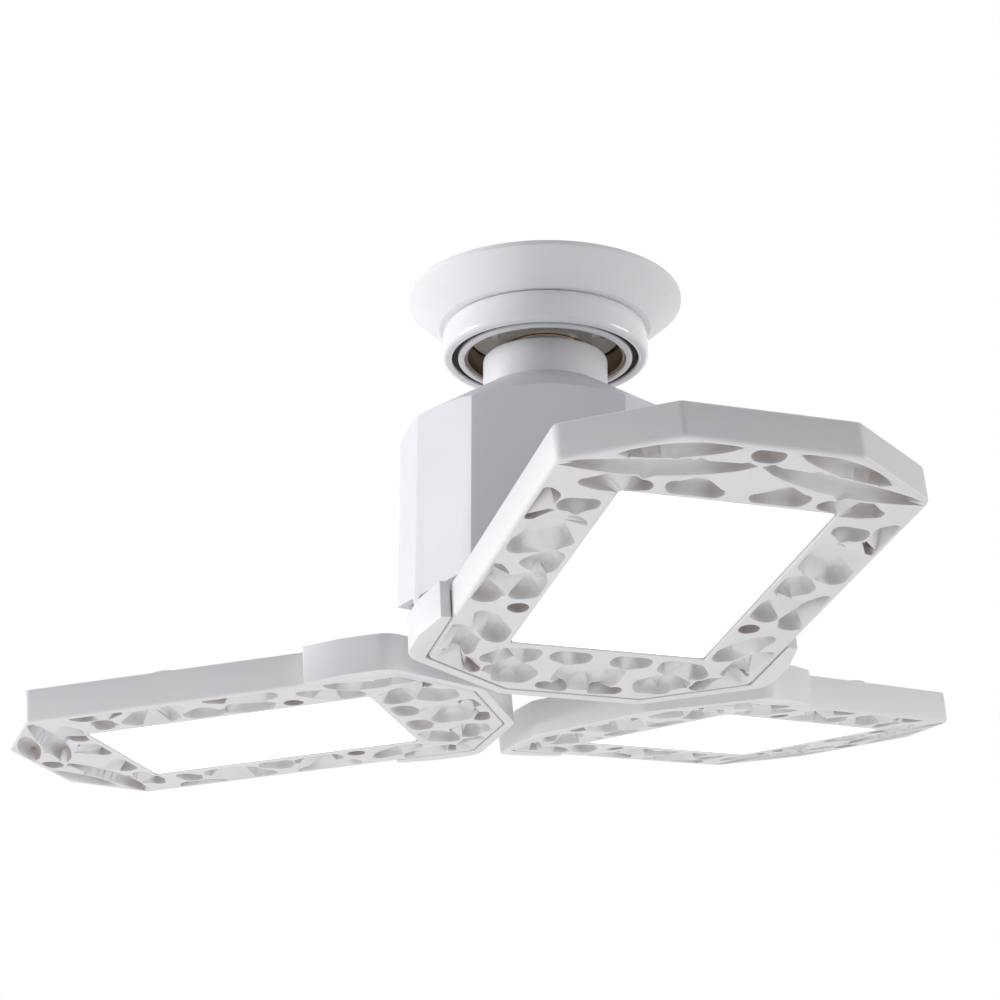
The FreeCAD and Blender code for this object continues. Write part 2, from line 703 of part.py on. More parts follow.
# The web's pockets on one half of a panel. In the rails beside the window a corner is a
# share of the window's length and of the rail's width. In the nose and at the end it is a
# share of the way out from the window and of the half width there.
RAIL_POCKETS = [
    [(0.70, 1.00), (0.98, 1.00), (0.94, 0.72)],
    [(0.58, 0.92), (0.67, 0.92), (0.84, 0.34), (0.80, 0.08), (0.67, 0.08)],
    [(0.86, 0.60), (0.92, 0.62), (0.93, 0.10), (0.89, 0.10)],
    [(0.27, 0.96), (0.53, 1.00), (0.46, 0.72), (0.28, 0.60)],
    [(0.30, 0.44), (0.53, 0.30), (0.42, 0.04), (0.33, 0.04)],
    [(0.53, 0.66), (0.62, 0.30), (0.60, 0.06), (0.48, 0.06)],
    [(0.25, 0.40), (0.28, 0.06), (0.21, 0.06)],
    [(0.22, 0.78), (0.17, 0.36), (0.08, 0.06), (0.00, 0.06), (0.02, 0.34), (0.12, 0.66)],
    [(0.10, 1.00), (0.08, 0.70), (-0.02, 0.46), (-0.12, 0.42), (-0.06, 0.78)]]
NOSE_POCKETS = [
    [(0.16, 0.98), (0.26, 0.88), (0.66, 0.88), (0.66, 0.98)],
    [(0.10, 0.62), (0.04, 0.38), (0.30, 0.40), (0.44, 0.78)],
    [(0.54, 0.78), (0.42, 0.42), (0.62, 0.40), (0.84, 0.62), (0.84, 0.94), (0.72, 0.80)],
    [(0.05, 0.08), (0.05, 0.30), (0.24, 0.30), (0.26, 0.08)],
    [(0.80, 0.40), (0.92, 0.52), (0.97, 0.20), (0.90, 0.16)]]
END_POCKETS = [
    [(0.04, 0.90), (-0.06, 0.72), (0.04, 0.46), (0.16, 0.50)],
    [(0.22, 0.40), (0.03, 0.36), (0.03, 0.10), (0.12, 0.08)]]
END_LEAVES = [
    [(0.34, 0.99), (0.60, 0.52), (0.66, 0.04), (0.34, 0.48)],
    [(0.62, 0.94), (0.92, 0.80), (0.97, 0.34), (0.76, 0.56)]]
NOSE_MIDDLE = [(0.36, 0.19), (0.72, 0.28), (0.86, 0.14)]
END_MIDDLE = [(0.79, 0.09), (0.94, 0.16)]


def web_outlines():
    """Closed wires of the web: those of one half, and those that cross the middle."""
    margin = size("web_rib")
    start = size("window_start")
    stop = size("window_end")
    rail = size("window_half") + margin
    nose = size("-bracket_back + bracket_wall + fit_clearance") + margin
    end = size("panel_end") - margin

    def in_rail(along, across):
        x = start + along * (stop - start)
        return FreeCAD.Vector(x, rail + across * (half_width(x, margin) - rail), 0)

    def in_nose(along, across):
        x = start - margin - along * (start - margin - nose)
        return FreeCAD.Vector(x, across * half_width(x, margin), 0)

    def in_end(along, across):
        x = stop + margin + along * (end - stop - margin)
        return FreeCAD.Vector(x, across * half_width(x, margin), 0)

    halves = []
    for place, shapes in ((in_rail, RAIL_POCKETS), (in_nose, NOSE_POCKETS), (in_end, END_POCKETS)):
        for shape in shapes:
            corners = [place(*corner) for corner in shape]
            halves.append(Part.makePolygon(corners + corners[:1]))
    for leaf in END_LEAVES:
        tip, outer, far_tip, inner = [in_end(*point) for point in leaf]
        halves.append(Part.Wire([Part.Arc(tip, outer, far_tip).toShape(),
                                 Part.Arc(far_tip, inner, tip).toShape()]))
    middles = []
    for place, shape in ((in_nose, NOSE_MIDDLE), (in_end, END_MIDDLE)):
        corners = [place(*corner) for corner in shape]
        corners += [FreeCAD.Vector(corner.x, -corner.y, 0) for corner in reversed(corners)]
        middles.append(Part.makePolygon(corners + corners[:1]))
    return halves, middles


def web_cutters():
    """Prisms that hollow the web into the underside of a panel."""
    halves, middles = web_outlines()
    flip = FreeCAD.Matrix()
    flip.A22 = -1
    faces = [Part.Face(wire) for wire in halves]
    faces += [face.transformGeometry(flip) for face in faces]
    faces += [Part.Face(wire) for wire in middles]
    low = -size("panel_top + panel_height") - NUDGE
    cutters = []
    for face in faces:
        face.translate(FreeCAD.Vector(0, 0, low))
        cutters.append(face.extrude(FreeCAD.Vector(0, 0, size("pocket_depth") + NUDGE)))
    return Part.makeCompound(cutters)


def make_frame(number):
    body = new_body("frame_blank_%d" % number)
    outline = new_sketch(body, "frame_outline_%d" % number, "XY", "-panel_top")
    inner_corners = nose_corners(FRAME_INSET, "panel_half")
    add_loop(outline, mirrored(inner_corners + end_corners("0")))
    pad(body, outline, "panel_height", "frame_pad_%d" % number, down=True)
    for name, radius, corners in (
            ("frame_round_%d", "panel_round", end_corners("0")),
            ("frame_nose_round_%d", "bracket_round - bracket_wall", inner_corners)):
        places = [(size(x), sign * size(y)) for x, y in corners for sign in (1, -1)]
        round_upright_edges(body, name % number, radius, places)
    step = new_sketch(body, "frame_step_%d" % number, "XY", "-panel_top")
    add_loop(step, mirrored([("-bracket_back", "bracket_half"),
                             ("bracket_front + fit_clearance", "bracket_half")]))
    pocket(body, step, "bracket_roof - bracket_proud + fit_clearance", "frame_step_cut_%d" % number)
    cavity = new_sketch(body, "frame_cavity_%d" % number, "XY", "-panel_top")
    add_loop(cavity, mirrored([("cavity_start", "panel_half - panel_wall")]
                              + end_corners("panel_wall")))
    pocket(body, cavity, "panel_height - slab_height", "frame_cavity_cut_%d" % number)
    window = new_sketch(body, "frame_window_%d" % number, "XY", "-panel_top")
    add_loop(window, mirrored([("window_start", "window_half"), ("window_end", "window_half")]))
    pocket(body, window, "panel_height + %g" % NUDGE, "frame_window_cut_%d" % number)
    holes = new_sketch(body, "frame_holes_%d" % number, "XY", "-panel_top")
    for side in ("", "-"):
        add_circle(holes, "bracket_screw_place", side + "(bracket_half - bracket_screw_inset)",
                   "small_screw_radius + screw_clearance")
    pocket(body, holes, "bracket_screw_depth + fit_clearance", "frame_hole_cut_%d" % number)
    doc.recompute()
    web = loose_shape("frame_web_%d" % number, web_cutters())
    cut = doc.addObject("Part::Cut", "panel_frame_%d" % number)
    cut.Base = body
    cut.Tool = web
    cut.Label = "panel_frame_%d" % number
    cut.Placement = panel_place(number)


def make_lens(number):
    body = new_body("panel_lens_%d" % number)
    flange_low = "-panel_top - panel_height + slab_height"
    flange = new_sketch(body, "lens_flange_%d" % number, "XY", flange_low)
    add_loop(flange, mirrored([("window_start - lens_flange", "window_half + lens_flange"),
                               ("window_end + lens_flange", "window_half + lens_flange")]))
    pad(body, flange, "lens_flange_height", "lens_flange_pad_%d" % number)
    tray = new_sketch(body, "lens_tray_%d" % number, "XY", flange_low)
    add_loop(tray, mirrored([
        ("window_start + lens_clearance", "window_half - lens_clearance"),
        ("window_end - lens_clearance", "window_half - lens_clearance")]))
    pad(body, tray, "slab_height - lens_inset", "lens_tray_pad_%d" % number, down=True)
    inside = new_sketch(body, "lens_inside_%d" % number, "XY", flange_low + " + lens_flange_height")
    add_loop(inside, mirrored([
        ("window_start + lens_clearance + lens_wall", "window_half - lens_clearance - lens_wall"),
        ("window_end - lens_clearance - lens_wall", "window_half - lens_clearance - lens_wall")]))
    pocket(body, inside, "slab_height - lens_inset - lens_wall + lens_flange_height",
           "lens_inside_cut_%d" % number)
    body.Placement = panel_place(number)


def make_led_board(number):
    """The board lies on the lens flange with its diodes facing down."""
    low = -size("panel_top + panel_height - slab_height - lens_flange_height")
    start = size("window_start - lens_flange")
    end = size("window_end + lens_flange")
    half = size("window_half + lens_flange")
    board = Part.makeBox(end - start, 2 * half, size("led_board_wall"),
                         FreeCAD.Vector(start, -half, low))
    across = int(size("led_rows"))
    along = int(size("led_columns"))
    width = size("led_size")
    height = size("led_height")
    diodes = []
    for column in range(along):
        for line in range(across):
            x = size("window_start") + (column + 0.5) * size("window_end - window_start") / along
            y = (line + 0.5) * 2 * size("window_half") / across - size("window_half")
            base = FreeCAD.Vector(x - width / 2, y - width / 2, low - height)
            diodes.append(Part.makeBox(width, width, height, base))
    plate = loose_shape("led_board_%d" % number, board.fuse(diodes))
    plate.Placement = panel_place(number)


def make_back_cover(number):
    body = new_body("back_cover_%d" % number)
    outline = new_sketch(body, "cover_outline_%d" % number, "XY", "-panel_top")
    add_loop(outline, mirrored([
        ("bracket_front + 2 * fit_clearance", "panel_half - panel_wall - cover_clearance")]
        + end_corners("(panel_wall + cover_clearance)")))
    pad(body, outline, "cover_wall", "cover_pad_%d" % number, down=True)
    fins = new_sketch(body, "cover_fins_%d" % number, "XY", "-panel_top")
    count = int(size("fin_count"))
    for index in range(count):
        middle = "fin_pitch * %g" % (index - (count - 1) / 2)
        add_loop(fins, [
            ("bracket_front + fin_margin", middle + " - fin_width / 2"),
            ("panel_corner - fin_margin", middle + " - fin_width / 2"),
            ("panel_corner - fin_margin", middle + " + fin_width / 2"),
            ("bracket_front + fin_margin", middle + " + fin_width / 2")])
    pad(body, fins, "fin_height", "cover_fin_pad_%d" % number)
    studs = new_sketch(body, "cover_studs_%d" % number, "XY", "-panel_top")
    for side in ("", "-"):
        add_circle(studs, "stud_place", side + "(panel_half - stud_inset)", "stud_radius")
    pad(body, studs, "stud_height", "cover_stud_pad_%d" % number)
    body.Placement = panel_place(number)


def make_bracket(number):
    body = new_body("hinge_bracket_%d" % number)
    top = "-panel_top + bracket_proud"
    corners = nose_corners("0", "bracket_half")
    outline = new_sketch(body, "bracket_outline_%d" % number, "XY", top)
    add_loop(outline, mirrored(corners + [("bracket_shoulder", "bracket_half"),
                                          ("bracket_front", "bracket_front_half")]))
    pad(body, outline, "panel_height + bracket_proud", "bracket_pad_%d" % number, down=True)
    places = [(size(x), sign * size(y)) for x, y in corners for sign in (1, -1)]
    round_upright_edges(body, "bracket_round_%d" % number, "bracket_round", places)
    hollow = new_sketch(body, "bracket_hollow_%d" % number, "XY", top + " - bracket_roof")
    hollow_half = "(panel_half + fit_clearance)"
    add_loop(hollow, mirrored(nose_corners("bracket_wall", hollow_half) + [
        ("bracket_front + %g" % NUDGE, hollow_half)]))
    pocket(body, hollow, "panel_height + %g" % NUDGE, "bracket_hollow_cut_%d" % number)
    arm = new_sketch(body, "bracket_arm_%d" % number, "XZ")
    add_loop(arm, [
        ("-arm_back", top + " - bracket_roof"),
        ("arm_front", top + " - bracket_roof"),
        ("barrel_radius", "0"),
        ("barrel_radius * sin(facet_angle)", "barrel_radius * cos(facet_angle)"),
        ("-barrel_radius * sin(facet_angle)", "barrel_radius * cos(facet_angle)"),
        ("-barrel_radius", "0")])
    width = "2 * (ear_inner - washer_height - 2 * side_gap)"
    pad(body, arm, width, "bracket_arm_pad_%d" % number, midplane=True)
    eye = new_sketch(body, "bracket_eye_%d" % number, "XZ")
    add_circle(eye, "0", "0", "pin_radius + pin_clearance")
    pocket(body, eye, width + " + %g" % NUDGE, "bracket_eye_cut_%d" % number, midplane=True)
    holes = new_sketch(body, "bracket_holes_%d" % number, "XY", top)
    for side in ("", "-"):
        add_circle(holes, "bracket_screw_place", side + "(bracket_half - bracket_screw_inset)",
                   "small_screw_radius + screw_clearance")
    pocket(body, holes, "bracket_roof + fit_clearance", "bracket_hole_cut_%d" % number)
    body.Placement = panel_place(number)


def make_bracket_screws(number):
    places = []
    for side in (1, -1):
        across = side * size("bracket_half - bracket_screw_inset")
        base = FreeCAD.Vector(size("bracket_screw_place"), across,
                              -size("panel_top - bracket_proud"))
        places.append(FreeCAD.Placement(base, FreeCAD.Rotation()))
    group = screw_group("bracket_screws_%d" % number, places, size("bracket_screw_depth"))
    group.Placement = panel_place(number)


# ------------------------------------------------------------------ build
make_canopy()
make_holder_rings()
make_socket()
make_cap()
make_neck()
make_housing()
make_carrier()
make_carrier_screws()
make_electronics()
for panel_number in PANELS:
    make_hinge_pin(panel_number)
    make_washer(panel_number)
    make_frame(panel_number)
    make_lens(panel_number)
    make_led_board(panel_number)
    make_back_cover(panel_number)
    make_bracket(panel_number)
    make_bracket_screws(panel_number)
doc.recompute()

NODES = [
    "ceiling_canopy", "holder_shell", "holder_seal", "holder_inner_ring", "holder_liner",
    "socket_body", "socket_screw_shell", "socket_contact",
    "cap_screw_shell", "cap_insulator", "cap_contact", "neck_collar", "hub_housing",
    "hinge_carrier", "carrier_screws", "driver_board", "driver_transformer", "driver_capacitor"]
PANEL_NODES = ["hinge_pin", "friction_washer", "panel_frame", "panel_lens", "led_board",
               "back_cover", "hinge_bracket", "bracket_screws"]
NODES += ["%s_%d" % (name, number) for number in PANELS for name in PANEL_NODES]

for item in doc.Objects:
    if "Invalid" in item.State or "Error" in item.State:
        raise RuntimeError("%s did not build: %s" % (item.Label, item.State))
parts = {item.Label: item for item in doc.Objects if item.Label in NODES}
for name in NODES:
    shape = parts[name].Shape
    if shape.isNull() or not shape.isValid() or shape.Volume <= 0:
        raise RuntimeError("%s has no valid solid" % name)

os.makedirs("parts", exist_ok=True)
for name in NODES:
    parts[name].Shape.exportStep("parts/%s.step" % name)
    print("%-22s solids %2d volume %9.1f" % (name, len(parts[name].Shape.Solids),
                                            parts[name].Shape.Volume))
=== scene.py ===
import json
import math

import bmesh
import bpy
import numpy as np
from mathutils import Matrix, Vector, geometry


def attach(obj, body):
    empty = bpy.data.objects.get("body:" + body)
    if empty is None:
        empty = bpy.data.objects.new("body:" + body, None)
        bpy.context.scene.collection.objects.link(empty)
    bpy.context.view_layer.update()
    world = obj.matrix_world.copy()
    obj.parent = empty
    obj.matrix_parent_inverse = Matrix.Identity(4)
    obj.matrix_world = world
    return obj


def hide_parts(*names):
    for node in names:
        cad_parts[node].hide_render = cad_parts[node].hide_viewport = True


# A three-panel garage light in a ceiling lampholder, lit and seen from below.
# The frame is in metres; a panel's own drawing is in millimetres about its hinge:
# X out along the panel, Y across it, Z up.

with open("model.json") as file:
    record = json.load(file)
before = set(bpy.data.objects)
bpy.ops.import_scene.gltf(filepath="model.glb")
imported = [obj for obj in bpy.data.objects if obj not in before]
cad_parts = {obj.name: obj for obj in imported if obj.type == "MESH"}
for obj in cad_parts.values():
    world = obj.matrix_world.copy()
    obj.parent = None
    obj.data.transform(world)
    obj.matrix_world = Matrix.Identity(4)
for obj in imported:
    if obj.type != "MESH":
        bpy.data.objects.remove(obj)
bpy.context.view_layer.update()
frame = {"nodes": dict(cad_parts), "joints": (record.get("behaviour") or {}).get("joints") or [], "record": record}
MM = 0.001
NODES = frame["nodes"]
JOINTS = {joint["name"]: joint for joint in frame["joints"]}
PANELS = (1, 2, 3)
LOWEST_TILT = -6.0    # degrees from level at every panel's lower stop

# panel
PANEL_HALF = 50.0
PANEL_CORNER = 120.2
PANEL_END = 137.4
END_HALF = 23.51
PANEL_TOP = -9.0
PANEL_BOTTOM = -19.5
PANEL_WALL = 3.0
SLAB_TOP = -14.0
NOSE_TOP = -11.2
NOSE_X = -10.8
NOSE_HALF = 21.15
STEP_X = 32.6
NOSE_ROUND = 5.0
CORNER_ROUND = 3.2
LIP = 1.2
WINDOW_START = 19.5
WINDOW_END = 109.3
WINDOW_HALF = 29.5
CHAMFER = math.radians(57)
NOSE_SLOPE = math.radians(60)
POCKET_DEPTH = 4.0
POCKET_ROUND = 2.4
POCKET_SLOPE = 2.6
RIM_ROUND = 0.5
WEB_RIB = 1.5
POCKET_GROWTH = 1.0    # how far the moulded rims stand out from the plain cut pockets


# ------------------------------------------------------------- materials
def new_material(name):
    material = bpy.data.materials.new(name)
    material.use_nodes = True
    tree = material.node_tree
    shader = tree.nodes["Principled BSDF"]
    return material, tree, shader


def link(tree, source, output, target, socket):
    tree.links.new(source.outputs[output], target.inputs[socket])


def moulded(name, colour, roughness, grain=900.0, bump=0.05, variation=0.03, coat=0.0,
            subsurface=0.0):
    """Moulded plastic: faint clouding of the colour and a fine spark-eroded grain."""
    material, tree, shader = new_material(name)
    place = tree.nodes.new("ShaderNodeTexCoord")
    cloud = tree.nodes.new("ShaderNodeTexNoise")
    cloud.inputs["Scale"].default_value = 28.0
    cloud.inputs["Detail"].default_value = 3.0
    link(tree, place, "Object", cloud, "Vector")
    tone = tree.nodes.new("ShaderNodeValToRGB")
    tone.color_ramp.elements[0].position = 0.3
    tone.color_ramp.elements[1].position = 0.7
    tone.color_ramp.elements[0].color = [c * (1 - variation) for c in colour] + [1]
    tone.color_ramp.elements[1].color = [min(1, c * (1 + variation / 2)) for c in colour] + [1]
    link(tree, cloud, "Fac", tone, "Fac")
    link(tree, tone, "Color", shader, "Base Color")
    fine = tree.nodes.new("ShaderNodeTexNoise")
    fine.inputs["Scale"].default_value = grain
    fine.inputs["Detail"].default_value = 2.0
    link(tree, place, "Object", fine, "Vector")
    rise = tree.nodes.new("ShaderNodeBump")
    rise.inputs["Strength"].default_value = bump
    rise.inputs["Distance"].default_value = 0.0002
    link(tree, fine, "Fac", rise, "Height")
    link(tree, rise, "Normal", shader, "Normal")
    rough = tree.nodes.new("ShaderNodeMapRange")
    rough.inputs["To Min"].default_value = roughness - 0.04
    rough.inputs["To Max"].default_value = roughness + 0.04
    link(tree, cloud, "Fac", rough, "Value")
    link(tree, rough, "Result", shader, "Roughness")
    shader.inputs["Coat Weight"].default_value = coat
    shader.inputs["Subsurface Weight"].default_value = subsurface
    shader.inputs["Subsurface Radius"].default_value = (1.0, 0.9, 0.8)
    shader.inputs["Subsurface Scale"].default_value = 0.001
    return material


def metal(name, colour, roughness, stretch=(1, 1, 40), bump=0.1):
    """Worn or brushed metal with fine streaks."""
    material, tree, shader = new_material(name)
    place = tree.nodes.new("ShaderNodeTexCoord")
    squeeze = tree.nodes.new("ShaderNodeMapping")
    squeeze.inputs["Scale"].default_value = stretch
    link(tree, place, "Object", squeeze, "Vector")
    streak = tree.nodes.new("ShaderNodeTexNoise")
    streak.inputs["Scale"].default_value = 60.0
    streak.inputs["Detail"].default_value = 4.0
    link(tree, squeeze, "Vector", streak, "Vector")
    tone = tree.nodes.new("ShaderNodeValToRGB")
    tone.color_ramp.elements[0].color = [c * 0.8 for c in colour] + [1]
    tone.color_ramp.elements[1].color = list(colour) + [1]
    link(tree, streak, "Fac", tone, "Fac")
    link(tree, tone, "Color", shader, "Base Color")
    rise = tree.nodes.new("ShaderNodeBump")
    rise.inputs["Strength"].default_value = bump
    rise.inputs["Distance"].default_value = 0.0001
    link(tree, streak, "Fac", rise, "Height")
    link(tree, rise, "Normal", shader, "Normal")
    shader.inputs["Metallic"].default_value = 1.0
    shader.inputs["Roughness"].default_value = roughness
    return material


def lit_lens(name):
    """A milky cover with its diodes on: bright all over, with a faint ripple."""
    material = moulded(name, (0.95, 0.95, 0.95), 0.35, grain=300.0, bump=0.08)
    shader = material.node_tree.nodes["Principled BSDF"]
    shader.inputs["Emission Color"].default_value = (1.0, 0.995, 0.98, 1)
    shader.inputs["Emission Strength"].default_value = 0.75
    return material


def painted_hollow_shade(material, colour=(0.34, 0.28, 0.25), reach=0.006):
    """Painted shade: deepen and warm the colour where the surface is hollow."""
    tree = material.node_tree
    shader = tree.nodes["Principled BSDF"]
    plain = shader.inputs["Base Color"].links[0].from_socket
    # ambient occlusion finds the hollows where the painted shade goes
    openness = tree.nodes.new("ShaderNodeAmbientOcclusion")
    openness.inputs["Distance"].default_value = reach
    openness.samples = 8
    spread = tree.nodes.new("ShaderNodeMapRange")
    spread.inputs["From Min"].default_value = 0.25
    spread.inputs["From Max"].default_value = 0.85
    link(tree, openness, "AO", spread, "Value")
    blend = tree.nodes.new("ShaderNodeMixRGB")
    # the warm grey-brown colour is painted shade, mixed in where the surface is hollow
    blend.inputs["Color1"].default_value = list(colour) + [1]
    tree.links.new(plain, blend.inputs["Color2"])
    link(tree, spread, "Result", blend, "Fac")
    link(tree, blend, "Color", shader, "Base Color")
    return material


MATERIALS = {
    "canopy_white": moulded("canopy", (0.93, 0.93, 0.935), 0.38, bump=0.02),
    "holder_white": moulded("holder", (0.93, 0.93, 0.94), 0.14, bump=0.01, coat=0.5),
    # painted shade: the pure black seal ring fills the holder's deep gap, which is dark from shade
    "seal_black": moulded("painted_gap_shade", (0.006, 0.006, 0.006), 0.7),
    "ring_white": moulded("ring", (0.80, 0.80, 0.80), 0.3),
    "liner_brass": metal("liner", (0.30, 0.22, 0.15), 0.32, stretch=(1, 1, 0.1)),
    "porcelain_white": moulded("porcelain", (0.80, 0.78, 0.73), 0.12, coat=0.6),
    "contact_brass": metal("contact", (0.85, 0.62, 0.28), 0.25),
    "cap_metal": metal("cap", (0.82, 0.82, 0.83), 0.22),
    "insulator_black": moulded("insulator", (0.02, 0.02, 0.022), 0.15, coat=0.6),
    "neck_white": moulded("neck", (0.82, 0.82, 0.83), 0.42),
    "housing_white": moulded("housing", (0.85, 0.85, 0.875), 0.45, subsurface=0.1),
    "carrier_white": moulded("carrier", (0.80, 0.80, 0.81), 0.5),
    "steel": metal("steel", (0.60, 0.60, 0.62), 0.28),
    "board_green": moulded("board", (0.03, 0.16, 0.06), 0.3, coat=0.3),
    "transformer_tape": moulded("tape", (0.72, 0.55, 0.12), 0.35),
    "capacitor_black": moulded("capacitor", (0.03, 0.03, 0.04), 0.25),
    # painted shade: the panel's pockets are darkened warm grey-brown where the underside is hollow
    "panel_white": painted_hollow_shade(moulded("panel", (0.86, 0.855, 0.855), 0.42)),
    "lens_milk": lit_lens("lens"),
    "led_board_white": moulded("led_board", (0.85, 0.85, 0.82), 0.4),
    "cover_white": moulded("cover", (0.84, 0.84, 0.85), 0.5, grain=1500.0, bump=0.12),
    "bracket_white": moulded("bracket", (0.87, 0.865, 0.87), 0.42, subsurface=0.12),
}

for part in frame["record"]["subparts"]:
    node = NODES[part["node"]]
    node.data.materials.clear()
    node.data.materials.append(MATERIALS[part["material_slot"]])


# ---------------------------------------------------------------- meshes
def new_piece(name, mesh, body, slot_name, *replaced):
    """Put a finished mesh in the scene on its body, in place of the CAD nodes it stands for."""
    piece = bpy.data.objects.new(name, mesh)
    bpy.context.scene.collection.objects.link(piece)
    mesh.materials.clear()
    mesh.materials.append(MATERIALS[slot_name])
    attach(piece, body)
    if replaced:
        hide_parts(*replaced)
    return piece


def eased(points, radius, steps=5):
    """The closed outline with each corner eased by an arc; radius is one number or one each."""
    count = len(points)
    radii = radius if isinstance(radius, (list, tuple)) else [radius] * count
    eased_points = []
    for index, corner in enumerate(points):
        corner = Vector(corner)
        before = Vector(points[index - 1]) - corner
        after = Vector(points[(index + 1) % count]) - corner
        turn = math.pi - before.angle(after)
        if radii[index] <= 0 or turn < 1e-3:
            eased_points += [corner.copy()] * (1 if radii[index] <= 0 else steps + 1)
            continue
        reach = min(radii[index] * math.tan(turn / 2), 0.46 * before.length, 0.46 * after.length)
        first = corner + before.normalized() * reach
        last = corner + after.normalized() * reach
        inward = (first + last) / 2 - corner
        centre = corner + inward * (reach ** 2 / math.tan(turn / 2) ** 2 + reach ** 2) / (
            inward.length * math.hypot(reach, reach / math.tan(turn / 2)))
        start = first - centre
        side = 1 if start.cross(last - centre) > 0 else -1
        for step in range(steps + 1):
            angle = side * turn * step / steps
            spun = Vector((start.x * math.cos(angle) - start.y * math.sin(angle),
                           start.x * math.sin(angle) + start.y * math.cos(angle)))
            eased_points.append(centre + spun)
    return eased_points


def mirrored(points):
    return list(points) + [(x, -y) for x, y in reversed(points)]


def smooth_by_angle(mesh, degrees):
    """Shade smooth, except over edges sharper than the angle."""
    mesh.shade_smooth()
    maker = bmesh.new()
    maker.from_mesh(mesh)
    for edge in maker.edges:
        faces = edge.link_faces
        edge.smooth = len(faces) == 2 and faces[0].normal.angle(faces[1].normal, 0) < math.radians(
            degrees)
    maker.to_mesh(mesh)
    maker.free()


def softened(node, body, slot_name, width, angle=25.0, segments=3):
    """The CAD piece's own shape with its edges rounded over."""
    maker = bmesh.new()
    maker.from_mesh(NODES[node].data)
    bmesh.ops.remove_doubles(maker, verts=maker.verts, dist=2e-6)
    bmesh.ops.dissolve_limit(maker, angle_limit=math.radians(0.6), verts=maker.verts,
                             edges=maker.edges)
    mesh = bpy.data.meshes.new(node + "_soft")
    maker.to_mesh(mesh)
    maker.free()
    mesh.shade_smooth()
    piece = new_piece(node + "_soft", mesh, body, slot_name, node)
    bevel = piece.modifiers.new("rounding", "BEVEL")
    bevel.width = width * MM
    bevel.segments = segments
    bevel.limit_method = "ANGLE"
    bevel.angle_limit = math.radians(angle)
    bevel.harden_normals = True
    bevel.use_clamp_overlap = True
    return piece


# ------------------------------------------------------------ the panels
def panel_matrix(number):
    """From a panel's own millimetres to the frame, at rest."""
    joint = JOINTS["panel_%d_tilt" % number]
    across = -Vector(joint["axis"]).normalized()
    outward = across.cross(Vector((0, 0, 1))).normalized()
    rest_tilt = math.radians(LOWEST_TILT - joint["range_deg"][0])
    tilt = Matrix.Rotation(rest_tilt, 3, -across)
    axes = Matrix((tilt @ outward, across, tilt @ Vector((0, 0, 1)))).transposed()
    return Matrix.Translation(joint["pos_m"]) @ (axes * MM).to_4x4()


def nose_corner(inset):
    return NOSE_X + inset, NOSE_HALF - inset * math.tan(NOSE_SLOPE / 4)


def end_corner(inset):
    return PANEL_END - inset, END_HALF - inset * math.tan(math.radians(45) - CHAMFER / 2)


def frame_outline(inset, steps=6):
    """The frame's outline drawn in by the inset; the count of points is always the same."""
    nose = nose_corner(inset)
    end = end_corner(inset)
    half = PANEL_HALF - inset
    shoulder = (nose[0] + (half - nose[1]) / math.tan(NOSE_SLOPE), half)
    corner = (PANEL_CORNER - inset * math.tan(CHAMFER / 2), half)
    points = [nose, shoulder, (STEP_X - 0.1, half), (STEP_X + 0.1, half), corner, end]
    radii = [NOSE_ROUND - inset, NOSE_ROUND - inset, 0, 0, CORNER_ROUND - inset,
             CORNER_ROUND - inset]
    radii = [max(r, 0.2) if r else 0 for r in radii]
    return eased(mirrored(points), radii + radii[::-1], steps)


def half_width(x, inset):
    """Half the frame's width at x, less the inset."""
    nose = nose_corner(inset)
    end = end_corner(inset)
    sloped = nose[1] + (x - nose[0]) * math.tan(NOSE_SLOPE)
    cut = end[1] + (end[0] - x) * math.tan(CHAMFER)
    return min(PANEL_HALF - inset, sloped, cut)


# The web's pockets on one half of a panel. In the rails beside the window a corner is a
# share of the window's length and of the rail's width. In the nose and at the end it is a
# share of the way out from the window and of the half width there.
RAIL_POCKETS = [
    [(0.70, 1.00), (0.98, 1.00), (0.94, 0.72)],
    [(0.58, 0.92), (0.67, 0.92), (0.84, 0.34), (0.80, 0.08), (0.67, 0.08)],
    [(0.86, 0.60), (0.92, 0.62), (0.93, 0.10), (0.89, 0.10)],
    [(0.27, 0.96), (0.53, 1.00), (0.46, 0.72), (0.28, 0.60)],
    [(0.30, 0.44), (0.53, 0.30), (0.42, 0.04), (0.33, 0.04)],
    [(0.53, 0.66), (0.62, 0.30), (0.60, 0.06), (0.48, 0.06)],
    [(0.25, 0.40), (0.28, 0.06), (0.21, 0.06)],
    [(0.22, 0.78), (0.17, 0.36), (0.08, 0.06), (0.00, 0.06), (0.02, 0.34), (0.12, 0.66)],
    [(0.10, 1.00), (0.08, 0.70), (-0.02, 0.46), (-0.12, 0.42), (-0.06, 0.78)]]
NOSE_POCKETS = [
    [(0.16, 0.98), (0.26, 0.88), (0.66, 0.88), (0.66, 0.98)],
    [(0.10, 0.62), (0.04, 0.38), (0.30, 0.40), (0.44, 0.78)],
    [(0.54, 0.78), (0.42, 0.42), (0.62, 0.40), (0.84, 0.62), (0.84, 0.94), (0.72, 0.80)],
    [(0.05, 0.08), (0.05, 0.30), (0.24, 0.30), (0.26, 0.08)],
    [(0.80, 0.40), (0.92, 0.52), (0.97, 0.20), (0.90, 0.16)]]
END_POCKETS = [
    [(0.04, 0.90), (-0.06, 0.72), (0.04, 0.46), (0.16, 0.50)],
    [(0.22, 0.40), (0.03, 0.36), (0.03, 0.10), (0.12, 0.08)]]
END_LEAVES = [
    [(0.34, 0.99), (0.60, 0.52), (0.66, 0.04), (0.34, 0.48)],
    [(0.62, 0.94), (0.92, 0.80), (0.97, 0.34), (0.76, 0.56)]]
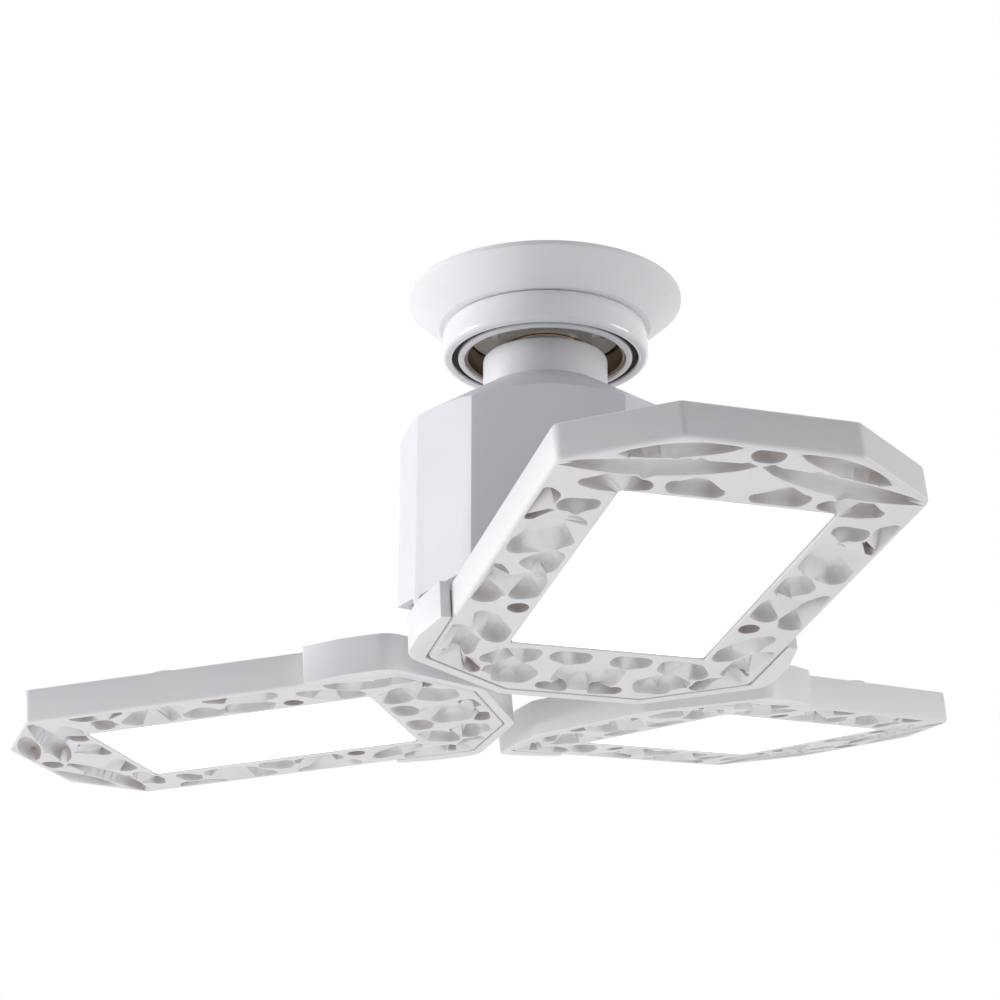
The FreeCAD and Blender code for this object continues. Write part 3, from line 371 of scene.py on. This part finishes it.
NOSE_MIDDLE = [(0.36, 0.19), (0.72, 0.28), (0.86, 0.14)]
END_MIDDLE = [(0.79, 0.09), (0.94, 0.16)]


def in_rail(along, across):
    x = WINDOW_START + along * (WINDOW_END - WINDOW_START)
    rail = WINDOW_HALF + WEB_RIB
    return x, rail + across * (half_width(x, WEB_RIB) - rail)


def in_nose(along, across):
    start = WINDOW_START - WEB_RIB
    x = start - along * (start - NOSE_X - WEB_RIB)
    return x, across * half_width(x, WEB_RIB)


def in_end(along, across):
    start = WINDOW_END + WEB_RIB
    x = start + along * (PANEL_END - WEB_RIB - start)
    return x, across * half_width(x, WEB_RIB)


def arc_through(first, middle, last, steps=12):
    """Points on the circle through three points."""
    (ax, ay), (bx, by), (cx, cy) = first, middle, last
    double = 2 * (ax * (by - cy) + bx * (cy - ay) + cx * (ay - by))
    ux = ((ax * ax + ay * ay) * (by - cy) + (bx * bx + by * by) * (cy - ay)
          + (cx * cx + cy * cy) * (ay - by)) / double
    uy = ((ax * ax + ay * ay) * (cx - bx) + (bx * bx + by * by) * (ax - cx)
          + (cx * cx + cy * cy) * (bx - ax)) / double
    radius = math.hypot(ax - ux, ay - uy)
    start = math.atan2(ay - uy, ax - ux)
    through = (math.atan2(by - uy, bx - ux) - start) % (2 * math.pi)
    stop = (math.atan2(cy - uy, cx - ux) - start) % (2 * math.pi)
    if through > stop:
        stop -= 2 * math.pi
    return [(ux + radius * math.cos(start + stop * i / steps),
             uy + radius * math.sin(start + stop * i / steps)) for i in range(steps + 1)]


def web_outlines():
    """Every pocket's eased outline, on both halves."""
    halves = []
    for place, shapes in ((in_rail, RAIL_POCKETS), (in_nose, NOSE_POCKETS), (in_end, END_POCKETS)):
        halves += [eased([place(*corner) for corner in shape], POCKET_ROUND) for shape in shapes]
    for leaf in END_LEAVES:
        tip, outer, far_tip, inner = [in_end(*point) for point in leaf]
        loop = arc_through(tip, outer, far_tip)[:-1] + arc_through(far_tip, inner, tip)[:-1]
        halves.append([Vector(point) for point in loop])
    halves = [shifted(outline, POCKET_GROWTH) for outline in halves]
    outlines = []
    for outline in halves:
        outlines += [outline, [Vector((p.x, -p.y)) for p in reversed(outline)]]
    for place, shape in ((in_nose, NOSE_MIDDLE), (in_end, END_MIDDLE)):
        middle = eased(mirrored([place(*corner) for corner in shape]), POCKET_ROUND)
        outlines.append(shifted(middle, POCKET_GROWTH))
    return outlines


def signed_distance(points, outline):
    """Distance from each point to a closed outline, positive inside."""
    loop = np.array([(p.x, p.y) for p in outline])
    start, stop = loop, np.roll(loop, -1, axis=0)
    run = stop - start
    offset = points[:, None, :] - start[None, :, :]
    share = np.clip((offset * run).sum(2) / np.maximum((run * run).sum(1), 1e-12), 0, 1)
    gap = np.sqrt(((offset - share[..., None] * run) ** 2).sum(2)).min(1)
    crossing = (start[None, :, 1] > points[:, None, 1]) != (stop[None, :, 1] > points[:, None, 1])
    at = start[:, 0] + (points[:, None, 1] - start[:, 1]) * run[:, 0] / np.where(
        run[:, 1] == 0, 1e-12, run[:, 1])
    inside = (crossing & (points[:, None, 0] < at)).sum(1) % 2 == 1
    return np.where(inside, gap, -gap)


def pocket_depth(points, outlines):
    """How far the underside is sunk at each point: a soft rim, then a hollow that levels off."""
    deepest = np.zeros(len(points))
    for outline in outlines:
        low = np.array([min(p.x for p in outline), min(p.y for p in outline)]) - RIM_ROUND
        high = np.array([max(p.x for p in outline), max(p.y for p in outline)]) + RIM_ROUND
        near = np.where(((points >= low) & (points <= high)).all(1))[0]
        if not len(near):
            continue
        inside = signed_distance(points[near], outline)
        share = np.clip(inside / POCKET_SLOPE, 0, 1)
        hollow = POCKET_DEPTH * np.sqrt(1 - (1 - share) ** 2)
        rim = np.clip((inside + RIM_ROUND) / RIM_ROUND, 0, 1) ** 2 * 0.18
        deepest[near] = np.maximum(deepest[near], rim + hollow)
    return deepest


def shifted(outline, distance):
    """The outline moved outwards by a distance."""
    area = sum(a.x * b.y - b.x * a.y for a, b in zip(outline, outline[1:] + outline[:1]))
    side = 1 if area > 0 else -1
    moved = []
    for index, point in enumerate(outline):
        along = outline[(index + 1) % len(outline)] - outline[index - 1]
        if along.length > 1e-9:
            moved.append(point + Vector((along.y, -along.x)).normalized() * distance * side)
    return moved


def web_face(outer, window, outlines):
    """The sculpted underside between the frame's lip and the window: points and triangles."""
    loose = []
    for outline in outlines:
        for distance in (0.5, 0.25, 0.0, -0.12, -0.3, -0.6, -1.1, -1.8, -2.6):
            ring = shifted(outline, distance)
            places = np.array([(p.x, p.y) for p in ring])
            kept = np.abs(signed_distance(places, outline) + distance) < 0.06
            loose += [Vector(p) for p in places[kept]]
    xs = np.arange(NOSE_X, PANEL_END, 1.6)
    ys = np.arange(-PANEL_HALF, PANEL_HALF, 1.6)
    grid = np.array([(x, y) for x in xs for y in ys])
    hollow = np.max([signed_distance(grid, outline) for outline in outlines], axis=0)
    loose += [Vector(p) for p in grid[hollow > 2.9]]
    loose_places = np.array([(p.x, p.y) for p in loose])
    in_frame = signed_distance(loose_places, outer) > 0.15
    out_of_window = signed_distance(loose_places, window) < -0.15
    loose = [p for p, keep in zip(loose, in_frame & out_of_window) if keep]
    points = list(outer) + list(window) + loose
    edges = [(i, (i + 1) % len(outer)) for i in range(len(outer))]
    start = len(outer)
    edges += [(start + i, start + (i + 1) % len(window)) for i in range(len(window))]
    points, _, triangles, *_ = geometry.delaunay_2d_cdt(points, edges, [], 1, 1e-4)
    places = np.array([(p.x, p.y) for p in points])
    centres = np.array([places[list(t)].mean(0) for t in triangles])
    keep = signed_distance(centres, window) < 0
    return places, [t for t, good in zip(triangles, keep) if good]


def make_frame_mesh():
    """One panel's frame in its own millimetres."""
    outlines = web_outlines()
    maker = bmesh.new()

    def ring(points, height):
        return [maker.verts.new((p.x, p.y, height(p.x) if callable(height) else height))
                for p in points]

    def join(first, second):
        count = len(first)
        for index in range(count):
            after = (index + 1) % count
            maker.faces.new((first[index], first[after], second[after], second[index]))

    def stepped(height):
        return lambda x: height if x > STEP_X else min(height, NOSE_TOP)

    rings = [ring(frame_outline(PANEL_WALL), SLAB_TOP),
             ring(frame_outline(PANEL_WALL), stepped(PANEL_TOP - 0.3)),
             ring(frame_outline(PANEL_WALL - 0.3), stepped(PANEL_TOP)),
             ring(frame_outline(0.7), stepped(PANEL_TOP)),
             ring(frame_outline(0.2), stepped(PANEL_TOP - 0.2)),
             ring(frame_outline(0.0), stepped(PANEL_TOP - 0.7))]
    rings.append(ring(frame_outline(0.0), PANEL_BOTTOM + LIP))
    for step in range(1, 5):
        angle = math.radians(90 * step / 4)
        rings.append(ring(frame_outline(LIP * (1 - math.cos(angle))),
                          PANEL_BOTTOM + LIP * (1 - math.sin(angle))))
    for first, second in zip(rings, rings[1:]):
        join(first, second)
    window_corners = mirrored([(WINDOW_START, WINDOW_HALF), (WINDOW_END, WINDOW_HALF)])
    sill = eased(mirrored([(WINDOW_START - 0.3, WINDOW_HALF + 0.3),
                           (WINDOW_END + 0.3, WINDOW_HALF + 0.3)]), 1.0, 4)
    reveal = eased(window_corners, 0.7, 4)
    sill_ring = ring(sill, PANEL_BOTTOM)
    reveal_ring = ring(reveal, PANEL_BOTTOM + 0.3)
    top_ring = ring(reveal, SLAB_TOP)
    join(reveal_ring, sill_ring)
    join(top_ring, reveal_ring)
    places, triangles = web_face(frame_outline(LIP), sill, outlines)
    edge_gap = np.minimum(signed_distance(places, frame_outline(LIP)),
                          -signed_distance(places, sill))
    heights = PANEL_BOTTOM + np.minimum(pocket_depth(places, outlines),
                                        np.maximum(edge_gap - 0.2, 0) * 2.2)
    sheet = [maker.verts.new((x, y, z)) for (x, y), z in zip(places, heights)]
    for corner in triangles:
        maker.faces.new([sheet[i] for i in corner])
    floor_places = list(frame_outline(PANEL_WALL)) + list(reveal)
    count = len(frame_outline(PANEL_WALL))
    edges = [(i, (i + 1) % count) for i in range(count)]
    edges += [(count + i, count + (i + 1) % len(reveal)) for i in range(len(reveal))]
    points, _, faces, *_ = geometry.delaunay_2d_cdt(floor_places, edges, [], 1, 1e-4)
    flat = np.array([(p.x, p.y) for p in points])
    centres = np.array([flat[list(t)].mean(0) for t in faces])
    floor = [maker.verts.new((x, y, SLAB_TOP)) for x, y in flat]
    for corner, good in zip(faces, signed_distance(centres, reveal) < 0):
        if good:
            maker.faces.new([floor[i] for i in corner])
    bmesh.ops.remove_doubles(maker, verts=maker.verts, dist=1e-3)
    bmesh.ops.dissolve_degenerate(maker, dist=1e-4, edges=maker.edges)
    bmesh.ops.recalc_face_normals(maker, faces=maker.faces)
    mesh = bpy.data.meshes.new("panel_frame")
    maker.to_mesh(mesh)
    maker.free()
    smooth_by_angle(mesh, 50)
    return mesh


def make_lens_mesh():
    """The tray that shows in the window, with eased edges."""
    maker = bmesh.new()
    gap = 0.25       # between the lens and the window
    inset_up = 0.3    # how far the lens stands in from the frame's face
    bottom = PANEL_BOTTOM + inset_up
    rings = []
    for inset, height in ((0, SLAB_TOP), (0, bottom + 0.8), (0.25, bottom + 0.25), (0.9, bottom)):
        corners = mirrored([(WINDOW_START + gap + inset, WINDOW_HALF - gap - inset),
                            (WINDOW_END - gap - inset, WINDOW_HALF - gap - inset)])
        rings.append([maker.verts.new((p.x, p.y, height)) for p in eased(corners, 1.0, 4)])
    for first, second in zip(rings, rings[1:]):
        for index in range(len(first)):
            after = (index + 1) % len(first)
            maker.faces.new((first[index], first[after], second[after], second[index]))
    maker.faces.new(rings[0])
    maker.faces.new(rings[-1])
    bmesh.ops.recalc_face_normals(maker, faces=maker.faces)
    mesh = bpy.data.meshes.new("panel_lens")
    maker.to_mesh(mesh)
    maker.free()
    smooth_by_angle(mesh, 40)
    return mesh


def make_panels():
    frame_mesh = make_frame_mesh()
    lens_mesh = make_lens_mesh()
    for number in PANELS:
        place = panel_matrix(number)
        body = "panel_%d" % number
        for mesh, name, slot_name in ((frame_mesh, "panel_frame", "panel_white"),
                                      (lens_mesh, "panel_lens", "lens_milk")):
            copy = mesh.copy()
            copy.transform(place)
            node = "%s_%d" % (name, number)
            new_piece(node + "_moulded", copy, body, slot_name, node)
        softened("hinge_bracket_%d" % number, body, "bracket_white", 0.7)
        softened("back_cover_%d" % number, body, "cover_white", 0.4)


# -------------------------------------------------- holder, neck, housing
def make_holder():
    for node, slot_name, width in (
            ("ceiling_canopy", "canopy_white", 0.5), ("holder_shell", "holder_white", 0.6),
            # the black seal ring stands in the deep gap as painted shade
            ("holder_inner_ring", "ring_white", 0.3), ("holder_seal", "seal_black", 0.2),
            ("holder_liner", "liner_brass", 0.2)):
        softened(node, "lampholder", slot_name, width)
    softened("neck_collar", "lamp", "neck_white", 0.4)
    softened("hub_housing", "lamp", "housing_white", 0.8)
    softened("hinge_carrier", "lamp", "carrier_white", 0.4)


# ---------------------------------------------------------------- studio
def area_light(name, place, target, size, power, colour=(1, 1, 1)):
    data = bpy.data.lights.new(name, "AREA")
    data.shape = "DISK"
    data.size = size
    data.energy = power
    data.color = colour
    lamp = bpy.data.objects.new(name, data)
    lamp.location = place
    lamp.rotation_euler = (Vector(target) - Vector(place)).to_track_quat("-Z", "Y").to_euler()
    bpy.context.scene.collection.objects.link(lamp)


def make_studio():
    scene = bpy.context.scene
    scene.view_settings.view_transform = "Standard"
    world = bpy.data.worlds.new("studio")
    scene.world = world
    world.use_nodes = True
    tree = world.node_tree
    background = tree.nodes["Background"]
    background.inputs["Color"].default_value = (0.93, 0.93, 1.0, 1)
    background.inputs["Strength"].default_value = 0.34
    white = tree.nodes.new("ShaderNodeBackground")
    white.inputs["Color"].default_value = (1, 1, 1, 1)
    path = tree.nodes.new("ShaderNodeLightPath")
    seen = tree.nodes.new("ShaderNodeMath")
    seen.operation = "MAXIMUM"
    link(tree, path, "Is Camera Ray", seen, 0)
    link(tree, path, "Is Transmission Ray", seen, 1)
    mirror = tree.nodes.new("ShaderNodeMath")
    mirror.operation = "MAXIMUM"
    link(tree, seen, 0, mirror, 0)
    link(tree, path, "Is Glossy Ray", mirror, 1)
    mix = tree.nodes.new("ShaderNodeMixShader")
    link(tree, mirror, 0, mix, 0)
    tree.links.new(background.outputs[0], mix.inputs[1])
    tree.links.new(white.outputs[0], mix.inputs[2])
    tree.links.new(mix.outputs[0], tree.nodes["World Output"].inputs["Surface"])
    floor_mesh = bpy.data.meshes.new("floor")
    half = 3
    drop = -0.9
    floor_mesh.from_pydata([(-half, -half, drop), (half, -half, drop), (half, half, drop),
                            (-half, half, drop)], [], [(0, 1, 2, 3)])
    floor = bpy.data.objects.new("floor", floor_mesh)
    scene.collection.objects.link(floor)
    pale = moulded("floor", (0.8, 0.8, 0.8), 0.8)
    pale.node_tree.nodes["Principled BSDF"].inputs["Emission Color"].default_value = (1, 1, 1, 1)
    pale.node_tree.nodes["Principled BSDF"].inputs["Emission Strength"].default_value = 0.16
    floor_mesh.materials.append(pale)
    area_light("key_left", (-1.3, 0.0, -0.02), (0, 0, -0.1), 0.7, 11.5, (0.97, 0.97, 1.0))
    area_light("fill_right", (1.2, -0.1, -0.16), (0, 0, -0.05), 0.6, 3.8)
    area_light("from_below", (-0.25, -0.1, -0.85), (0, 0, -0.1), 0.5, 1.3, (1.0, 0.985, 0.96))
    area_light("from_above", (0.2, 0.5, 0.9), (0, 0, -0.05), 0.8, 3.0)


def make_camera():
    """The photo's camera, as fitted to the panels' edges: below the light, looking up."""
    pitch = 19.7
    data = bpy.data.cameras.new("camera")
    data.lens = 76.8
    data.sensor_width = 36.0
    camera = bpy.data.objects.new("camera", data)
    camera.location = (-0.01465, -0.63614, -0.29694)
    camera.rotation_euler = (math.radians(90 + pitch), 0, 0)
    bpy.context.scene.collection.objects.link(camera)
    bpy.context.scene.camera = camera


make_camera()
make_studio()
make_panels()
make_holder()
